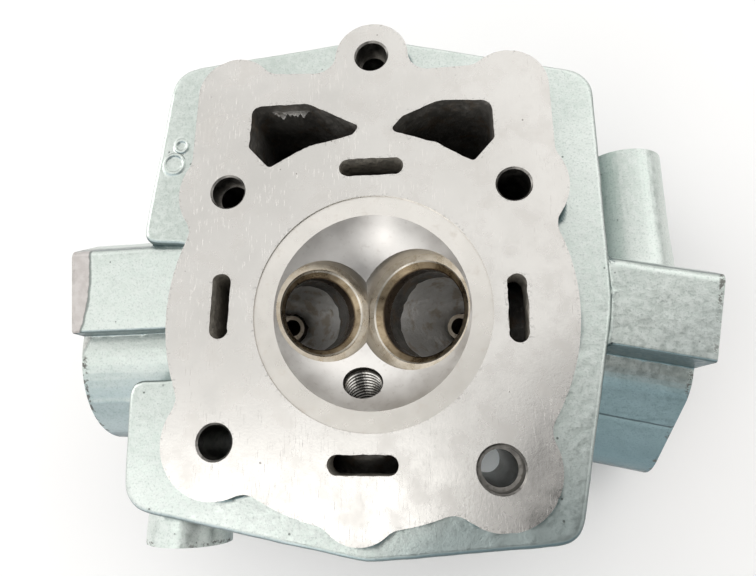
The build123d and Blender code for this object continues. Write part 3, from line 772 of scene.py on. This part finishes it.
# ------------------------------------------------------------------ dressing the model
casting = make_casting()
raw_hollow = cast_hollow(
    "raw_casting", (0.13, 0.125, 0.115), (0.24, 0.23, 0.215), (0.42, 0.40, 0.37), (0.20, 0.14, 0.09),
    0.45, 0.70, 0.7)
# painted light: the port bowls are raw casting like the other hollows, but get a near-white colour to stand
# for light reaching into the ports
port_bowl_painted_light = cast_hollow(
    "port_casting_painted_light", (0.84, 0.83, 0.81), (0.95, 0.945, 0.93), (0.98, 0.97, 0.95), (0.52, 0.43, 0.32),
    0.30, 0.50, 0.75)
for finish in (
    paint_finish(), deck_finish(), ring_finish(), dome_finish(),
    bore_finish(), raw_hollow, face_finish(), port_bowl_painted_light,
):
    casting.data.materials.append(finish)
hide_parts("head_casting")
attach(casting, "root")


def thread(name, mount, start, turns, pitch, high):
    """The crest of an internal thread: a helical ridge on the wall of a stated bore."""
    place, out, dims = mount_mm(mount)
    side = np.cross(out, (0.0, 0.0, 1.0) if abs(out[2]) < 0.9 else (1.0, 0.0, 0.0))
    side /= np.linalg.norm(side)
    other = np.cross(out, side)
    wall = dims["r_mm"] + 0.05
    steps = 40
    verts, faces = [], []
    for k in range(turns * steps + 1):
        angle = 2 * math.pi * k / steps
        ray = math.cos(angle) * side + math.sin(angle) * other
        along = start + pitch * k / steps
        grown = high * min(1.0, k / steps, (turns * steps - k) / steps) + 0.02
        for radial, shift in ((wall, -0.42 * pitch), (wall - grown, 0.0), (wall, 0.42 * pitch)):
            verts.append(tuple((place + radial * ray + (along + shift) * out) * MM))
    for k in range(turns * steps):
        a = 3 * k
        for j in (0, 1):
            faces.append((a + j, a + j + 1, a + j + 4, a + j + 3))
        faces.append((a + 2, a, a + 3, a + 5))
    faces.append((0, 1, 2))
    last = 3 * turns * steps
    faces.append((last + 2, last + 1, last))
    mesh = bpy.data.meshes.new(name)
    mesh.from_pydata(verts, [], faces)
    mesh.update()
    piece = bpy.data.objects.new(name, mesh)
    scene.collection.objects.link(piece)
    root, crest = wall * MM, (wall - high) * MM
    mesh.materials.append(thread_finish(name, root, crest, tuple(place * MM), tuple(out)))
    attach(piece, "root")


def window_flash(start, end, inward):
    """A ragged sliver of flash left along one edge of the pushrod window, a little below the deck."""
    start, end, inward = (np.array(p) for p in (start, end, inward))
    steps = 44
    at = np.array([start + (end - start) * k / steps for k in range(steps + 1)])
    ragged = noise(at, 1.3, 21) * 0.9 + noise(at, 0.6, 22) * 0.5
    reach = np.clip((1.9 + 1.4 * ragged) * np.sin(np.linspace(0, math.pi, steps + 1)) ** 0.5, 0.15, 4.2)
    sag = 0.35 * noise(at, 2.1, 23)
    up = np.array((0.0, 0.0, 1.0))
    verts, faces = [], []
    for k in range(steps + 1):
        root = at[k] - inward * 0.8
        tip = at[k] + inward * reach[k]
        for point, drop in ((root, 0.0), (tip, 0.25), (tip, 0.75), (root, 1.6)):
            verts.append(tuple((point - up * (drop + sag[k])) * MM))
    for k in range(steps):
        for j in range(4):
            a, b = 4 * k + j, 4 * k + (j + 1) % 4
            faces.append((a, b, b + 4, a + 4))
    faces.append((0, 3, 2, 1))
    last = 4 * steps
    faces.append((last, last + 1, last + 2, last + 3))
    mesh = bpy.data.meshes.new("window_flash")
    mesh.from_pydata(verts, [], faces)
    mesh.update()
    piece = bpy.data.objects.new("window_flash", mesh)
    scene.collection.objects.link(piece)
    mesh.materials.append(cast_hollow(
        "flash_metal", (0.34, 0.335, 0.32), (0.50, 0.49, 0.475), (0.62, 0.61, 0.59), (0.24, 0.21, 0.18),
        0.28, 0.45, 0.9))
    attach(piece, "root")


PLUG_HALF = MOUNTS["spark_plug"]["dims"]["length_mm"] / 2
thread("plug_thread", "spark_plug", -PLUG_HALF + 1.0, 13, 1.25, 0.55)

window_flash(FLASH_START, FLASH_END, FLASH_INWARD)


def dress(node, finish):
    mesh = frame["nodes"][node].data
    mesh.materials.clear()
    mesh.materials.append(finish)


for side in ("exhaust", "intake"):
    middle = [c * MM for c in SEAT_CENTRE[side]]
    inward = MOUNTS[side + "_stem"]["axis"]
    dress(side + "_valve_seat", seat_finish(side, middle, inward))
    dress(side + "_valve_guide", turned_metal(
        side + "_guide_iron", (0.24, 0.205, 0.16), (0.38, 0.335, 0.27), (0.08, 0.065, 0.05),
        0.30, 0.45, middle, inward))
    dress(side + "_guide_clip", turned_metal(
        side + "_clip_steel", (0.36, 0.36, 0.37), (0.50, 0.50, 0.51), (0.16, 0.16, 0.16),
        0.26, 0.40, middle, inward))
    dress(side + "_guide_o_ring", rubber_finish())

# ------------------------------------------------------------------ floor, camera, light
low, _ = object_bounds()
floor_mesh = bpy.data.meshes.new("floor")
floor_corners = [(i * FLOOR_HALF, j * FLOOR_HALF, 0) for i, j in ((-1, -1), (1, -1), (1, 1), (-1, 1))]
floor_mesh.from_pydata(floor_corners, [], [(0, 1, 2, 3)])
floor = bpy.data.objects.new("floor", floor_mesh)
floor.location.z = low[2]
scene.collection.objects.link(floor)
floor_mesh.materials.append(floor_finish())

eye = vec(*EYE)
forward = (vec(*AIM) - eye).normalized()
right = forward.cross(Vector((0, 1, 0))).normalized()
up = right.cross(forward)
camera_data = bpy.data.cameras.new("camera")
camera = bpy.data.objects.new("camera", camera_data)
camera.matrix_world = Matrix((
    (right.x, up.x, -forward.x, eye.x),
    (right.y, up.y, -forward.y, eye.y),
    (right.z, up.z, -forward.z, eye.z),
    (0, 0, 0, 1),
))
camera_data.sensor_fit = "HORIZONTAL"
camera_data.sensor_width = SENSOR
camera_data.lens = LENS
camera_data.clip_start = 0.005
scene.collection.objects.link(camera)
scene.camera = camera


def area_light(name, place, aim, size, power):
    data = bpy.data.lights.new(name, "AREA")
    data.shape = "RECTANGLE"
    data.size, data.size_y = size
    data.energy = power
    lamp = bpy.data.objects.new(name, data)
    lamp.location = place
    lamp.rotation_euler = (Vector(aim) - Vector(place)).to_track_quat("-Z", "Y").to_euler()
    scene.collection.objects.link(lamp)


area_light("key", (-1.25, 0.50, 0.42), (0, 0, -0.04), (0.7, 0.7), 5.0)

world = bpy.data.worlds.new("studio")
scene.world = world
world.use_nodes = True


def sky(tree):
    """A pale studio with a bright window patch and the dark shape of whoever stands over the object."""
    def put(socket, value):
        if isinstance(value, bpy.types.NodeSocket):
            tree.links.new(value, socket)
        else:
            socket.default_value = value

    def calc(operation, a, b=0.0):
        made = tree.nodes.new("ShaderNodeMath")
        made.operation = operation
        put(made.inputs[0], a)
        put(made.inputs[1], b)
        return made.outputs[0]

    def ramp(value, low, high, to_low=0.0, to_high=1.0):
        made = tree.nodes.new("ShaderNodeMapRange")
        made.interpolation_type = "SMOOTHSTEP"
        put(made.inputs["Value"], value)
        made.inputs["From Min"].default_value = low
        made.inputs["From Max"].default_value = high
        made.inputs["To Min"].default_value = to_low
        made.inputs["To Max"].default_value = to_high
        return made.outputs["Result"]

    out = tree.nodes["Background"]
    split = tree.nodes.new("ShaderNodeSeparateXYZ")
    put(split.inputs[0], tree.nodes.new("ShaderNodeTexCoord").outputs["Generated"])
    x, y, z = split.outputs
    flat = calc("MAXIMUM", z, 0.08)
    u = calc("DIVIDE", x, flat)
    v = calc("DIVIDE", y, flat)

    # overhead, brighter on one side
    above = calc("ADD", OVERHEAD, calc("MULTIPLY", ramp(u, -0.3, 0.6), 0.26))
    far_left = calc("MULTIPLY", ramp(u, 0.0, -0.5), ramp(v, 0.0, 0.5))
    above = calc("SUBTRACT", above, calc("MULTIPLY", far_left, 0.10))
    sheen = calc("MULTIPLY", ramp(v, -0.01, -0.07), ramp(v, -0.60, -0.42))
    sheen = calc("MULTIPLY", calc("MULTIPLY", sheen, ramp(u, 0.04, -0.04)), ramp(u, -0.75, -0.55))
    above = calc("ADD", above, calc("MULTIPLY", sheen, SHEEN))
    lean = calc("SUBTRACT", calc("MULTIPLY", calc("SUBTRACT", u, 0.071), 0.838), calc("MULTIPLY", v, 0.546))
    figure = calc("MULTIPLY", ramp(lean, -0.02, 0.11), ramp(v, 0.22, 0.02))
    above = calc("SUBTRACT", above, calc("MULTIPLY", calc("MULTIPLY", above, figure), FIGURE))

    # the ceiling's pale edges, then the room's walls
    edges = calc("ADD", EDGES, calc("MULTIPLY", x, 0.20))
    around = calc("SUBTRACT", WALLS, calc("MULTIPLY", x, 0.22))
    around = calc("ADD", around, calc("MULTIPLY", y, 0.10))
    level = calc("ADD", around, calc("MULTIPLY", calc("SUBTRACT", edges, around), ramp(z, 0.15, 0.40)))
    near = calc("MULTIPLY", calc("MULTIPLY", ramp(x, -0.10, 0.20), ramp(y, 0.10, -0.30)), ramp(z, 0.82, 0.66))
    level = calc("MULTIPLY", level, calc("SUBTRACT", 1.0, calc("MULTIPLY", near, NEARBY)))
    strip = calc("MULTIPLY", ramp(x, -0.42, -0.30), ramp(x, -0.14, -0.22))
    gleam = calc("MULTIPLY", ramp(y, -0.80, -0.90), strip)
    level = calc("ADD", level, calc("MULTIPLY", gleam, GLEAM))
    level = calc("ADD", level, calc("MULTIPLY", calc("SUBTRACT", above, level), ramp(z, 0.66, 0.76)))
    put(out.inputs["Strength"], calc("DIVIDE", level, TONE))
    out.inputs["Color"].default_value = (1.0, 0.995, 0.985, 1.0)


sky(world.node_tree)
scene.view_settings.view_transform = "Standard"
scene.view_settings.look = "None"
scene.view_settings.exposure = 0.0
scene.view_settings.gamma = 1.0
